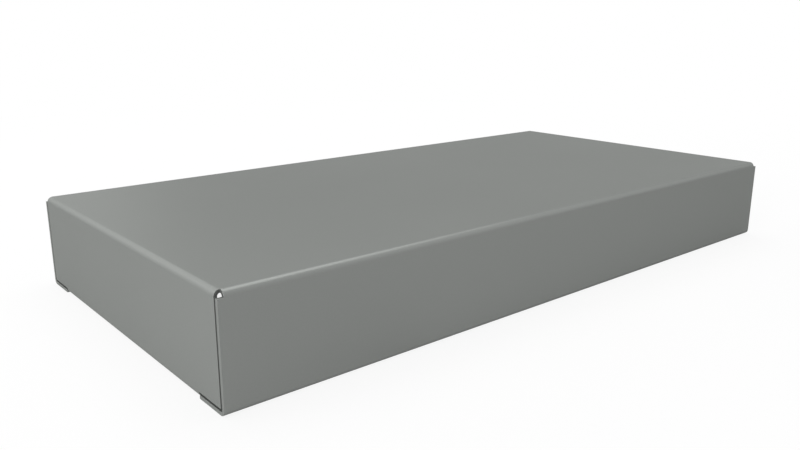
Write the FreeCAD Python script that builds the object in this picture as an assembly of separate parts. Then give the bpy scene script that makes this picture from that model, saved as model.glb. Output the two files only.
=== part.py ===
"""Folded sheet metal chassis: an inverted tray, open underneath, with lips turned in round its foot.

One blank of sheet steel makes the whole part, so it is one solid. A top panel has four walls folded
down from it, and a lip is folded inward from the bottom of each wall. Every fold has the same radius.

The corners show how the blank was cut. It is notched where the fold lines of two neighbouring walls
cross, so each top corner is left as a small opening between the ends of the two folds. The front and
rear walls run on past their folds until they are flush with the outside of the end walls, and so do
their lips. The end walls stop at the fold line, with a slit between their edge and the inside of the
front or rear wall. Their foot is notched to clear the long lips, and their own lips lie between those.

Frame: millimetres, +Z up, +X along the length, front wall facing -Y. The origin is at the centre of
the footprint, in the plane that the lips stand on.
"""

import FreeCAD
import Part
import math
import os

# Driving dimensions
LENGTH = 400.0        # outside, along X
WIDTH = 200.0         # outside, along Y
HEIGHT = 50.0         # foot to top face
SHEET = 1.6           # thickness of the blank
FOLD_INSIDE = 1.15    # inside radius of every fold
LIP = 20.3            # from the outside of a wall to the free edge of its lip
LIP_CLEARANCE = 0.8   # between the free edge of a long lip and the notch in an end wall's foot

# Worked out from them
FOLD_OUTSIDE = FOLD_INSIDE + SHEET
UPPER_FOLD = HEIGHT - FOLD_OUTSIDE    # height of the centre of the folds round the top
LOWER_FOLD = FOLD_OUTSIDE             # height of the centre of the folds round the foot


def round_fold(centre_z, radius, angle):
    """The point of a section at a radius and an angle from +Y about the centre of one of its folds."""
    turn = math.radians(angle)
    return FreeCAD.Vector(0, FOLD_OUTSIDE + radius * math.cos(turn), centre_z + radius * math.sin(turn))


def skin(depth):
    """The line that lies depth under the outside of a bent side, from its top fold line to its free edge."""
    radius = FOLD_OUTSIDE - depth
    upper = [round_fold(UPPER_FOLD, radius, angle) for angle in (90, 135, 180)]
    lower = [round_fold(LOWER_FOLD, radius, angle) for angle in (180, 225, 270)]
    free_edge = FreeCAD.Vector(0, LIP, depth)
    return [
        Part.Arc(*upper).toShape(),
        Part.makeLine(upper[-1], lower[0]),
        Part.Arc(*lower).toShape(),
        Part.makeLine(lower[-1], free_edge),
    ]


def bent_side(length):
    """Fold, wall, fold and lip in one length, centred on x = 0, facing -Y with the wall's outside at y = 0."""
    fold_line = [round_fold(UPPER_FOLD, radius, 90) for radius in (FOLD_OUTSIDE, FOLD_INSIDE)]
    free_edge = [FreeCAD.Vector(0, LIP, depth) for depth in (0, SHEET)]
    ends = [Part.makeLine(*fold_line), Part.makeLine(*free_edge)]
    outline = Part.Wire(Part.__sortEdges__(skin(0) + skin(SHEET) + ends))
    section = Part.Face(outline)
    section.translate(FreeCAD.Vector(-length / 2, 0, 0))
    return section.extrude(FreeCAD.Vector(length, 0, 0))


def cut_back(piece, length, low, high):
    """The piece with both its ends notched between two heights, to leave only length there."""
    notch_length = LENGTH
    for start in (length / 2, -length / 2 - notch_length):
        corner = FreeCAD.Vector(start, 0, low)
        piece = piece.cut(Part.makeBox(notch_length, LIP, high - low, corner))
    return piece


def long_side():
    """The front or rear side: full length, with only its top fold stopping at the corner notches."""
    return cut_back(bent_side(LENGTH), LENGTH - 2 * FOLD_OUTSIDE, UPPER_FOLD, HEIGHT)


def end_side():
    """An end side: it fits between the long sides, with its foot notched to clear their lips."""
    foot = WIDTH - 2 * (LIP + LIP_CLEARANCE)
    return cut_back(bent_side(WIDTH - 2 * FOLD_OUTSIDE), foot, 0, LOWER_FOLD)


def set_round(side, reach, heading):
    """A pair of sides on opposite walls, reach from the centre, the first one turned to a heading."""
    side.translate(FreeCAD.Vector(0, -reach, 0))
    up = FreeCAD.Vector(0, 0, 1)
    return [side.rotated(FreeCAD.Vector(), up, angle) for angle in (heading, heading + 180)]


def top_panel():
    """The flat top, which ends at the four fold lines."""
    length = LENGTH - 2 * FOLD_OUTSIDE
    width = WIDTH - 2 * FOLD_OUTSIDE
    return Part.makeBox(length, width, SHEET, FreeCAD.Vector(-length / 2, -width / 2, HEIGHT - SHEET))


def chassis():
    """The whole chassis as one solid."""
    front_and_rear = set_round(long_side(), WIDTH / 2, 0)
    ends = set_round(end_side(), LENGTH / 2, 90)
    return top_panel().multiFuse(front_and_rear + ends).removeSplitter().Solids[0]


os.makedirs("parts", exist_ok=True)
shape = chassis()
print("chassis: valid", shape.isValid(), "faces", len(shape.Faces), "volume", round(shape.Volume, 1), "mm3")
shape.exportStep("parts/chassis.step")
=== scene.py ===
"""Looks of the folded sheet metal chassis: a satin grey coat over one sheet, folded as it was made.

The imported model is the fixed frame. The sheet is modelled again over it, fold by fold, so that its
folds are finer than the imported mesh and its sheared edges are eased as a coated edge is. Lengths are
in metres and angles in degrees unless a name says otherwise.
"""

import logging
import math
from dataclasses import dataclass
from enum import Enum
from typing import Any, Callable, ClassVar

import bmesh
import bpy
from mathutils import Matrix, Vector


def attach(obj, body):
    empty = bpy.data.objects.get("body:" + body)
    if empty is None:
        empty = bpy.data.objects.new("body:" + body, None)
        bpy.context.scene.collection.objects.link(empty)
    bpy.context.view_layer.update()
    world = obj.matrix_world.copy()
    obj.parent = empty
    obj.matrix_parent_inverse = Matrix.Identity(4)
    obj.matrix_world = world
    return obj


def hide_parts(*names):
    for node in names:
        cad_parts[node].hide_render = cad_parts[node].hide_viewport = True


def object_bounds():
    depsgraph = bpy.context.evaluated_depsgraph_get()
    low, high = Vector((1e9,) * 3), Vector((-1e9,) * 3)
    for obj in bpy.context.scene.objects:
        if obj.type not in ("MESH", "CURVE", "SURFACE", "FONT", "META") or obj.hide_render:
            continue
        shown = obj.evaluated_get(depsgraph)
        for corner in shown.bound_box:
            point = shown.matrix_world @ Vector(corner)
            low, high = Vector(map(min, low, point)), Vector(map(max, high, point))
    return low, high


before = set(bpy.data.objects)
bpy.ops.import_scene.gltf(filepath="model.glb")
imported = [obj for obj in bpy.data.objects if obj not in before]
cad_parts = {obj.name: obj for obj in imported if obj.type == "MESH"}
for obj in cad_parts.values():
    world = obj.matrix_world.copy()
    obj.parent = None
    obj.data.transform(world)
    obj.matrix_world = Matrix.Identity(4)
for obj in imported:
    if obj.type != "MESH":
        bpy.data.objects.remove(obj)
CAD_LOW, CAD_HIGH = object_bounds()

MM = 0.001
BODY = "root"
NODE = "chassis"
DEPTH = "depth"    # vertex attribute: 0 on the sheet's outside, 1 on its inside
SAME_WAY = 0.9     # two unit vectors point the same way if their dot product is above this
QUARTER_TURN = math.radians(90)
Colour = tuple[float, float, float, float]
WHITE: Colour = (1.0, 1.0, 1.0, 1.0)
log = logging.getLogger("chassis")


class Skin(Enum):
    """The kinds of face that the sheet shows, each with its place among the piece's finishes."""

    FLAT = 0     # the rolled faces, flat or folded
    EDGE = 1     # sheared edges
    NOTCH = 2    # sheared ends of the upper folds, down in the corner notches, finished darker as painted shade


class Side(Enum):
    """The four sides of the chassis, each with its outside's heading about +Z, in degrees from -Y."""

    FRONT = 0
    RIGHT = 90
    REAR = 180
    LEFT = 270

    def turned(self, across: float, out: float, up: float) -> Vector:
        """Turns a vector given as seen from outside this side into the frame's axes.

        Args:
            across: Part to the right, as seen from outside.
            out: Part outwards, away from the middle of the chassis.
            up: Part upwards.

        Returns:
            The same vector in the frame's axes.
        """
        return Matrix.Rotation(math.radians(self.value), 3, "Z") @ Vector((across, -out, up))


def deselect_everything() -> None:
    """Leaves no object selected, so that an operator acts only on what is picked next."""
    bpy.ops.object.select_all(action="DESELECT")


def pick_faces(test: Callable[[bmesh.types.BMFace], bool]) -> int:
    """Selects, in the mesh being edited, the faces that pass a test, and no others.

    Args:
        test: Says whether a face is wanted.

    Returns:
        How many faces were picked.
    """
    bpy.ops.mesh.select_all(action="DESELECT")
    mesh = bpy.context.edit_object.data
    edited = bmesh.from_edit_mesh(mesh)
    wanted = [face for face in edited.faces if test(face)]
    for face in wanted:
        face.select_set(True)
    bmesh.update_edit_mesh(mesh)
    return len(wanted)


def pull(vector: Vector) -> None:
    """Extrudes the picked faces along a vector.

    Args:
        vector: How far and which way the new faces lie from the picked ones.
    """
    bpy.ops.mesh.extrude_region_move(TRANSFORM_OT_translate={"value": vector})


@dataclass
class FoldedSheet:
    """The chassis itself: a top panel with four walls folded down and lips folded in at their feet."""

    length: float
    width: float
    height: float
    sheet: float = 1.6 * MM
    fold_inside: float = 1.15 * MM
    lip: float = 20.3 * MM             # how far a lip reaches in from the outside of its wall
    lip_clearance: float = 0.8 * MM    # between the side of an end lip and the edge of a long one
    fold_steps: int = 10
    edge_round: float = 0.12 * MM
    edge_steps: int = 2
    smooth_below: float = 40.0         # turn between two faces up to which they shade as one curve
    ease_above: float = 60.0           # turn between two faces from which their edge is eased
    flat_weight: int = 100             # pull of the large faces on the shading, out of 100

    @property
    def fold_outside(self) -> float:
        """Outside radius of every fold, and how far a fold line stands in from the wall."""
        return self.fold_inside + self.sheet

    @property
    def tolerance(self) -> float:
        """How near two places must be to count as the same one."""
        return self.sheet / 100

    def reach(self, side: Side) -> float:
        """Distance from the middle of the chassis to the outside of a side's wall."""
        return (self.width if side in (Side.FRONT, Side.REAR) else self.length) / 2

    def build(self) -> bpy.types.Object:
        """Folds up the whole sheet.

        Returns:
            The finished piece, with its place in its mesh.
        """
        piece = self._cut_panel()
        bpy.ops.object.mode_set(mode="EDIT")
        bpy.ops.mesh.select_mode(type="FACE")
        for side in (Side.FRONT, Side.REAR):
            self._fold_long_side(side)
        for side in (Side.LEFT, Side.RIGHT):
            self._fold_end_side(side)
        bpy.ops.mesh.select_all(action="SELECT")
        bpy.ops.mesh.normals_make_consistent(inside=False)
        self._mark_skins()
        bpy.ops.object.mode_set(mode="OBJECT")
        self._ease_edges(piece)
        return piece

    def _cut_panel(self) -> bpy.types.Object:
        """Adds the flat top, out to its four fold lines, and notes which skin each corner is on.

        Returns:
            The new piece, with only the panel in it.
        """
        deselect_everything()
        flat = (self.length - 2 * self.fold_outside, self.width - 2 * self.fold_outside, self.sheet)
        middle = (0, 0, self.height - self.sheet / 2)
        bpy.ops.mesh.primitive_cube_add(size=1, location=middle, scale=flat)
        bpy.ops.object.transform_apply(location=True, rotation=True, scale=True)
        piece = bpy.context.object
        piece.name = piece.data.name = "folded_sheet"
        depth = piece.data.attributes.new(DEPTH, "FLOAT", "POINT")
        for vertex, value in zip(piece.data.vertices, depth.data):
            value.value = 0.0 if vertex.co.z > self.height - self.tolerance else 1.0
        return piece

    def _pick_edge_face(self, side: Side, up: float, down: bool) -> None:
        """Picks the sheared edge in the middle of a side from which the sheet goes on.

        Args:
            side: The side being folded.
            up: Height of the fold line.
            down: True for the end of a wall, which faces down, and false for the edge of the panel.
        """
        middle_of_sheet = self.fold_inside + self.sheet / 2
        if down:
            place = side.turned(0, self.reach(side) - self.sheet / 2, up)
        else:
            place = side.turned(0, self.reach(side) - self.fold_outside, up + middle_of_sheet)
        pick_faces(lambda face: (face.calc_center_median() - place).length < self.tolerance)

    def _fold(self, side: Side, up: float) -> None:
        """Turns the picked edge of the sheet a quarter turn about a fold line along a side.

        Args:
            side: The side being folded.
            up: Height of the fold line.
        """
        line = side.turned(0, self.reach(side) - self.fold_outside, up)
        along = side.turned(-1, 0, 0)
        bpy.ops.mesh.spin(
            steps=self.fold_steps, angle=QUARTER_TURN, center=line, axis=along, use_auto_merge=False
        )

    def _fold_wall(self, side: Side) -> None:
        """Folds a wall down from the panel, to where its lower fold begins.

        Args:
            side: The side being folded.
        """
        upper = self.height - self.fold_outside
        self._pick_edge_face(side, upper, down=False)
        self._fold(side, upper)
        pull(side.turned(0, 0, self.fold_outside - upper))

    def _fold_lip(self, side: Side) -> None:
        """Folds a lip inwards from the picked foot of a wall, out to its free edge."""
        self._fold(side, self.fold_outside)
        pull(side.turned(0, self.fold_outside - self.lip, 0))

    def _fold_long_side(self, side: Side) -> None:
        """Folds the front or rear, then carries its wall and lip on to the chassis's full length.

        Args:
            side: The long side being folded.
        """
        self._fold_wall(side)
        self._fold_lip(side)
        fold_end = self.length / 2 - self.fold_outside
        for way in (-1, 1):
            pick_faces(lambda face: self._is_below_fold_end(face, side, way * fold_end))
            pull(side.turned(way * self.fold_outside, 0, 0))

    def _is_below_fold_end(self, face: bmesh.types.BMFace, side: Side, across: float) -> bool:
        """Says whether a face is one of a long side's end faces, below its upper fold.

        Args:
            face: The face in question.
            side: The long side.
            across: Where its upper fold ends, to the right of the middle.

        Returns:
            True for the ends of the wall, of the lower fold and of the lip.
        """
        centre = Matrix.Rotation(-math.radians(side.value), 3, "Z") @ face.calc_center_median()
        normal = side.turned(math.copysign(1, across), 0, 0)
        is_end = face.normal.dot(normal) > SAME_WAY and abs(centre.x - across) < self.tolerance
        below_fold = centre.z < self.height - self.fold_outside
        return is_end and below_fold and centre.y < self.lip - self.width / 2

    def _fold_end_side(self, side: Side) -> None:
        """Folds an end, with its foot notched either side of its lip to clear the long lips.

        Args:
            side: The end being folded.
        """
        self._fold_wall(side)
        foot_half = self.width / 2 - self.lip - self.lip_clearance
        for across in (-foot_half, foot_half):
            pick_faces(lambda face: self._is_on_wall(face, side))
            place = side.turned(across, 0, 0)
            bpy.ops.mesh.bisect(plane_co=place, plane_no=place.normalized(), use_fill=False)
        self._pick_edge_face(side, self.fold_outside, down=True)
        self._fold_lip(side)

    def _is_on_wall(self, face: bmesh.types.BMFace, side: Side) -> bool:
        """Says whether a face belongs to the flat of a side's wall, its foot included.

        Args:
            face: The face in question.
            side: The side.

        Returns:
            True for the wall's outer and inner faces, its ends and its foot.
        """
        centre = Matrix.Rotation(-math.radians(side.value), 3, "Z") @ face.calc_center_median()
        outer = centre.y < self.sheet + self.tolerance - self.reach(side)
        return outer and self.fold_outside - self.tolerance < centre.z < self.height - self.fold_outside

    def _mark_skins(self) -> None:
        """Gives each face the finish of its kind."""
        mesh = bpy.context.edit_object.data
        for face in bmesh.from_edit_mesh(mesh).faces:
            face.material_index = self._skin_of(face).value
        bmesh.update_edit_mesh(mesh)

    def _skin_of(self, face: bmesh.types.BMFace) -> Skin:
        """Tells what kind of face this is.

        Args:
            face: The face in question.

        Returns:
            Its kind: a face with a side as short as the sheet is thick is a sheared one.
        """
        if not any(abs(edge.calc_length() - self.sheet) < self.tolerance for edge in face.edges):
            return Skin.FLAT
        above_folds = face.calc_center_median().z > self.height - self.fold_outside + self.tolerance
        return Skin.NOTCH if above_folds else Skin.EDGE

    def _ease_edges(self, piece: bpy.types.Object) -> None:
        """Rounds the sheared edges slightly and shades the folds smooth between flat faces.

        Args:
            piece: The folded sheet.
        """
        bpy.ops.object.shade_smooth_by_angle(angle=math.radians(self.smooth_below))
        ease = piece.modifiers.new("eased_edges", "BEVEL")
        ease.width = self.edge_round
        ease.segments = self.edge_steps
        ease.limit_method = "ANGLE"
        ease.angle_limit = math.radians(self.ease_above)
        bpy.ops.object.modifier_apply(modifier=ease.name)
        shade = piece.modifiers.new("flat_faces_stay_flat", "WEIGHTED_NORMAL")
        shade.keep_sharp = True
        shade.weight = self.flat_weight
        bpy.ops.object.modifier_apply(modifier=shade.name)


@dataclass
class Wiring:
    """Adds nodes to one node tree and joins them."""

    tree: bpy.types.NodeTree

    def add(self, kind: str, **settings: Any) -> bpy.types.Node:
        """Adds a node.

        Args:
            kind: The node's type.
            settings: Its own settings, by name.

        Returns:
            The new node.
        """
        node = self.tree.nodes.new(kind)
        for name, value in settings.items():
            setattr(node, name, value)
        return node

    def feed(self, node: bpy.types.Node, inputs: dict[str | int, Any]) -> bpy.types.Node:
        """Sets a node's inputs, or joins them to other nodes' outputs.

        Args:
            node: The node to feed.
            inputs: A value or an output for each input, by its name or its place.

        Returns:
            The same node.
        """
        for key, source in inputs.items():
            if isinstance(source, bpy.types.NodeSocket):
                self.tree.links.new(source, node.inputs[key])
            else:
                node.inputs[key].default_value = source
        return node

    def maths(self, operation: str, *terms: Any) -> bpy.types.NodeSocket:
        """Adds a Math node.

        Args:
            operation: What it works out.
            terms: Its values or outputs to join, in order.

        Returns:
            Its output.
        """
        node = self.add("ShaderNodeMath", operation=operation)
        return self.feed(node, dict(enumerate(terms))).outputs[0]


class CoatGrain:
    """What keeps a smooth coat from being one flat colour, as a node group that every finish shares."""

    NAME: ClassVar[str] = "coat_grain"
    DRIFT_SCALE: ClassVar[float] = 11.0      # colour drifts over about a hand's width
    DRIFT_DETAIL: ClassVar[float] = 2.0
    SPECK_SCALE: ClassVar[float] = 1300.0    # and from grain to grain of the coat
    SPECK_DETAIL: ClassVar[float] = 1.0
    PEEL_DETAIL: ClassVar[float] = 1.5       # the fine waves of a sprayed surface

    def __init__(self) -> None:
        """Makes the node group."""
        self.tree = bpy.data.node_groups.new(self.NAME, "ShaderNodeTree")
        self._add_sockets()
        self._add_nodes()

    def _add_sockets(self) -> None:
        """Names what goes into the group and what comes out."""
        sockets = self.tree.interface
        sockets.new_socket("Colour", in_out="INPUT", socket_type="NodeSocketColor")
        for name in ("Drift", "Speck", "Roughness", "Roughness Spread", "Peel Scale"):
            sockets.new_socket(name, in_out="INPUT", socket_type="NodeSocketFloat")
        sockets.new_socket("Colour", in_out="OUTPUT", socket_type="NodeSocketColor")
        for name in ("Roughness", "Height"):
            sockets.new_socket(name, in_out="OUTPUT", socket_type="NodeSocketFloat")

    def _noise(
        self, wiring: Wiring, place: bpy.types.NodeSocket, scale: Any, detail: float
    ) -> bpy.types.NodeSocket:
        """Adds a noise that swings from about -1 to 1.

        Args:
            wiring: The group's wiring.
            place: Where on the piece the noise is read.
            scale: How many of its lumps there are to a metre.
            detail: How many finer layers it has.

        Returns:
            The noise's value.
        """
        noise = wiring.add("ShaderNodeTexNoise")
        wiring.feed(noise, {"Vector": place, "Scale": scale, "Detail": detail})
        return wiring.maths("MULTIPLY_ADD", noise.outputs["Fac"], 2.0, -1.0)

    def _add_nodes(self) -> None:
        """Joins the noises to the colour, the roughness and the height."""
        wiring = Wiring(self.tree)
        given = wiring.add("NodeGroupInput").outputs
        place = wiring.add("ShaderNodeTexCoord").outputs["Object"]
        drift = self._noise(wiring, place, self.DRIFT_SCALE, self.DRIFT_DETAIL)
        speck = self._noise(wiring, place, self.SPECK_SCALE, self.SPECK_DETAIL)
        peel = self._noise(wiring, place, given["Peel Scale"], self.PEEL_DETAIL)
        tone = wiring.maths("MULTIPLY_ADD", drift, given["Drift"], 1.0)
        tone = wiring.maths("MULTIPLY_ADD", speck, given["Speck"], tone)
        colour = wiring.add("ShaderNodeVectorMath", operation="SCALE")
        wiring.feed(colour, {"Vector": given["Colour"], "Scale": tone})
        uneven = wiring.maths("ADD", drift, peel)
        rough = wiring.maths("MULTIPLY_ADD", uneven, given["Roughness Spread"], given["Roughness"])
        result = wiring.add("NodeGroupOutput")
        wiring.feed(result, {"Colour": colour.outputs["Vector"], "Roughness": rough, "Height": peel})


@dataclass(frozen=True)
class SatinCoat:
    """The smooth satin grey coat that covers the sheet, outside and in."""

    name: str = "satin_grey_coat"
    colour: Colour = (0.25, 0.26, 0.25, 1.0)
    metallic: float = 0.5                          # half matt paint and half metal to the light
    edge_tint: Colour = (0.33, 0.33, 0.33, 1.0)    # tones down what it mirrors at a low angle
    clear_gloss: float = 0.0                       # no clear gloss over the colour
    roughness: float = 0.41
    drift: float = 0.02
    speck: float = 0.03
    roughness_spread: float = 0.012
    peel_scale: float = 850.0
    peel_height: float = 0.004 * MM

    def make(self, grain: CoatGrain) -> bpy.types.Material:
        """Makes the material.

        Args:
            grain: The node group that all the finishes share.

        Returns:
            The material.
        """
        material = bpy.data.materials.new(self.name)
        material.use_nodes = True
        wiring = Wiring(material.node_tree)
        surface = material.node_tree.nodes["Principled BSDF"]
        uneven = wiring.add("ShaderNodeGroup", node_tree=grain.tree)
        wiring.feed(uneven, {
            "Colour": self.colour, "Drift": self.drift, "Speck": self.speck, "Roughness": self.roughness,
            "Roughness Spread": self.roughness_spread, "Peel Scale": self.peel_scale,
        })
        wiring.feed(surface, {
            "Metallic": self.metallic,
            "Specular Tint": self.edge_tint,
            "Specular IOR Level": self.clear_gloss,
        })
        self._colour_surface(wiring, surface, uneven)
        bump = wiring.add("ShaderNodeBump")
        wiring.feed(bump, {"Distance": self.peel_height, "Height": uneven.outputs["Height"]})
        wiring.feed(surface, {"Normal": bump.outputs["Normal"]})
        return material

    def _colour_surface(self, wiring: Wiring, surface: bpy.types.Node, uneven: bpy.types.Node) -> None:
        """Feeds the surface its colour and roughness.

        Args:
            wiring: The material's wiring.
            surface: The surface's shader.
            uneven: The coat's grain.
        """
        colour, rough = uneven.outputs["Colour"], uneven.outputs["Roughness"]
        wiring.feed(surface, {"Base Color": colour, "Roughness": rough})


@dataclass(frozen=True)
class ShearedEdge(SatinCoat):
    """The same coat on a sheared edge: smooth where the blade cut, rougher where the sheet broke."""

    name: str = "coated_sheared_edge"
    cut_depth: float = 0.35          # share of the thickness, from the outside, that the blade cut
    cut_blend: float = 0.1           # share either way over which the cut turns into the break
    break_tone: float = 0.95         # colour of the broken part, as a share of the coat's
    break_roughness: float = 0.06    # how much rougher than the coat it is

    def _colour_surface(self, wiring: Wiring, surface: bpy.types.Node, uneven: bpy.types.Node) -> None:
        """Feeds the surface its colour and roughness, changed where the sheet broke.

        Args:
            wiring: The material's wiring.
            surface: The surface's shader.
            uneven: The coat's grain.
        """
        depth = wiring.add("ShaderNodeAttribute", attribute_name=DEPTH).outputs["Fac"]
        broken = wiring.add("ShaderNodeMapRange", interpolation_type="SMOOTHSTEP")
        wiring.feed(broken, {
            "Value": depth,
            "From Min": self.cut_depth - self.cut_blend,
            "From Max": self.cut_depth + self.cut_blend,
        })
        share = broken.outputs["Result"]
        tone = wiring.maths("MULTIPLY_ADD", share, self.break_tone - 1.0, 1.0)
        colour = wiring.add("ShaderNodeVectorMath", operation="SCALE")
        wiring.feed(colour, {"Vector": uneven.outputs["Colour"], "Scale": tone})
        rough = wiring.maths("MULTIPLY_ADD", share, self.break_roughness, uneven.outputs["Roughness"])
        wiring.feed(surface, {"Base Color": colour.outputs["Vector"], "Roughness": rough})


@dataclass(frozen=True)
class PaintedShadeNotch(ShearedEdge):
    """The fold ends in the corner notches, coloured darker than the coat as painted shade for the
    recess.
    """

    name: str = "notch_painted_shade"
    # darker colour: painted shade, standing in for the shadow down in the notch
    colour: Colour = (0.15, 0.156, 0.15, 1.0)
    roughness: float = 0.55
    speck: float = 0.06


def heading_vector(heading: float, elevation: float) -> Vector:
    """Works out a direction from the chassis.

    Args:
        heading: Turn about +Z from the front, -Y, towards +X.
        elevation: Rise above the floor.

    Returns:
        The direction, one unit long.
    """
    turn, rise = math.radians(heading), math.radians(elevation)
    return Vector((math.sin(turn) * math.cos(rise), -math.cos(turn) * math.cos(rise), math.sin(rise)))


@dataclass(frozen=True)
class Softbox:
    """A round soft lamp, given by where it stands and how wide and bright it looks from the chassis."""

    name: str
    heading: float
    elevation: float
    half_angle: float
    brightness: float
    distance: float = 3.0

    def place(self) -> None:
        """Sets the lamp up, facing the chassis."""
        toward = heading_vector(self.heading, self.elevation)
        lamp = bpy.data.lights.new(self.name, "AREA")
        lamp.shape = "DISK"
        lamp.size = 2 * self.distance * math.tan(math.radians(self.half_angle))
        area = math.pi * (lamp.size / 2) ** 2
        lamp.energy = self.brightness * math.pi * area
        stand = bpy.data.objects.new(self.name, lamp)
        stand.location = toward * self.distance
        stand.rotation_euler = toward.to_track_quat("Z", "Y").to_euler()
        bpy.context.scene.collection.objects.link(stand)


@dataclass
class Studio:
    """The plain surroundings: a white floor with a faint shadow, a white backdrop and soft lamps."""

    floor_size: float = 12.0
    floor_colour: Colour = (0.9, 0.9, 0.9, 1.0)
    floor_glow: float = 0.88       # share of plain white in the floor, to the eye and to gloss
    shadow_reach: float = 0.35     # distance from the middle out to which that share holds
    fade_out: float = 0.9          # and at which the floor is plain white
    sky: float = 0.35              # strength of the backdrop's own light on the chassis
    softboxes: tuple[Softbox, ...] = (
        Softbox("softbox_left", heading=284.0, elevation=12.0, half_angle=10.0, brightness=15.5),
        Softbox("softbox_back_left", heading=240.0, elevation=30.0, half_angle=20.0, brightness=1.6),
        Softbox("softbox_behind", heading=184.0, elevation=14.0, half_angle=22.0, brightness=2.0),
        Softbox("softbox_right", heading=93.0, elevation=12.0, half_angle=20.0, brightness=0.8),
        Softbox("softbox_front_right", heading=60.0, elevation=30.0, half_angle=20.0, brightness=0.45),
        Softbox("softbox_over", heading=133.0, elevation=72.0, half_angle=28.0, brightness=2.1),
    )

    def build(self) -> None:
        """Sets up the world, the floor and the lamps."""
        self._light_world()
        self._lay_floor()
        for softbox in self.softboxes:
            softbox.place()

    def _seen_directly(self, wiring: Wiring) -> bpy.types.NodeSocket:
        """Adds a mask that is 1 for what the eye sees straight on, mirrored or through glass.

        Args:
            wiring: The wiring of the world or of the floor's material.

        Returns:
            The mask.
        """
        path = wiring.add("ShaderNodeLightPath").outputs
        either = wiring.maths("MAXIMUM", path["Is Camera Ray"], path["Is Glossy Ray"])
        return wiring.maths("MAXIMUM", either, path["Is Transmission Ray"])

    def _light_world(self) -> None:
        """Makes the backdrop white to look at, and its light on the chassis faint."""
        world = bpy.data.worlds.new("studio")
        bpy.context.scene.world = world
        world.use_nodes = True
        world.node_tree.nodes.clear()
        wiring = Wiring(world.node_tree)
        faint = wiring.feed(wiring.add("ShaderNodeBackground"), {"Color": WHITE, "Strength": self.sky})
        plain = wiring.feed(wiring.add("ShaderNodeBackground"), {"Color": WHITE, "Strength": 1.0})
        shown = wiring.add("ShaderNodeMixShader")
        wiring.feed(shown, {0: self._seen_directly(wiring), 1: faint.outputs[0], 2: plain.outputs[0]})
        wiring.feed(wiring.add("ShaderNodeOutputWorld"), {"Surface": shown.outputs[0]})

    def _lay_floor(self) -> None:
        """Lays the floor under the chassis."""
        deselect_everything()
        bpy.ops.mesh.primitive_plane_add(size=self.floor_size, location=(0, 0, 0))
        floor = bpy.context.object
        floor.name = floor.data.name = "floor"
        floor.data.materials.append(self._floor_material())

    def _floor_top(self, wiring: Wiring) -> bpy.types.NodeSocket:
        """Adds the floor's upper side: white paint with a faint shadow, and plain white further off.

        Args:
            wiring: The wiring of the floor's material.

        Returns:
            Its shader.
        """
        place = wiring.add("ShaderNodeTexCoord").outputs["Object"]
        reach = wiring.feed(wiring.add("ShaderNodeVectorMath", operation="LENGTH"), {0: place})
        far = wiring.add("ShaderNodeMapRange", interpolation_type="SMOOTHSTEP")
        wiring.feed(far, {
            "Value": reach.outputs["Value"],
            "From Min": self.shadow_reach,
            "From Max": self.fade_out,
            "To Min": self.floor_glow,
            "To Max": 1.0,
        })
        glow = wiring.maths("MULTIPLY", self._seen_directly(wiring), far.outputs["Result"])
        paint = wiring.feed(wiring.add("ShaderNodeBsdfDiffuse"), {"Color": self.floor_colour})
        white = wiring.feed(wiring.add("ShaderNodeEmission"), {"Color": WHITE, "Strength": 1.0})
        upper = wiring.add("ShaderNodeMixShader")
        return wiring.feed(upper, {0: glow, 1: paint.outputs[0], 2: white.outputs[0]}).outputs[0]

    def _floor_material(self) -> bpy.types.Material:
        """Makes a white floor that is clear from below, so that the underside can be looked at.

        Returns:
            The floor's material.
        """
        material = bpy.data.materials.new("white_floor")
        material.use_nodes = True
        material.node_tree.nodes.clear()
        wiring = Wiring(material.node_tree)
        from_below = wiring.add("ShaderNodeNewGeometry").outputs["Backfacing"]
        to_the_eye = wiring.add("ShaderNodeLightPath").outputs["Is Camera Ray"]
        clear = wiring.add("ShaderNodeBsdfTransparent").outputs[0]
        whole = wiring.add("ShaderNodeMixShader")
        share = wiring.maths("MULTIPLY", from_below, to_the_eye)
        wiring.feed(whole, {0: share, 1: self._floor_top(wiring), 2: clear})
        wiring.feed(wiring.add("ShaderNodeOutputMaterial"), {"Surface": whole.outputs[0]})
        return material


@dataclass
class Viewpoint:
    """The camera, looking down over the near left corner."""

    heading: float = -40.0
    elevation: float = 15.0
    distance: float = 0.48
    aim: tuple[float, float, float] = (-20.14 * MM, 12.33 * MM, 20.86 * MM)
    lens: float = 35.0
    sensor: float = 36.0

    def set_up(self) -> None:
        """Adds the camera and makes it the scene's own."""
        back = heading_vector(self.heading, self.elevation)
        camera = bpy.data.cameras.new("camera")
        camera.lens = self.lens
        camera.sensor_width = self.sensor
        stand = bpy.data.objects.new("camera", camera)
        stand.location = Vector(self.aim) + back * self.distance
        stand.rotation_euler = (-back).to_track_quat("-Z", "Y").to_euler()
        bpy.context.scene.collection.objects.link(stand)
        bpy.context.scene.camera = stand


def main() -> None:
    """Builds the piece, its finishes and its surroundings, in order."""
    bpy.context.scene.view_settings.view_transform = "Standard"
    size = CAD_HIGH - CAD_LOW
    piece = FoldedSheet(length=size.x, width=size.y, height=size.z).build()
    grain = CoatGrain()
    finishes = {Skin.FLAT: SatinCoat(), Skin.EDGE: ShearedEdge(), Skin.NOTCH: PaintedShadeNotch()}
    for skin in Skin:
        piece.data.materials.append(finishes[skin].make(grain))
        log.info("finish: %s", finishes[skin].name)
    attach(piece, BODY)
    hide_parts(NODE)
    log.info("folded sheet: %d faces", len(piece.data.polygons))
    Studio().build()
    Viewpoint().set_up()
    log.info("studio and camera set up")


if __name__ == "__main__":
    logging.basicConfig(level=logging.INFO, format="%(name)s: %(message)s")
    main()
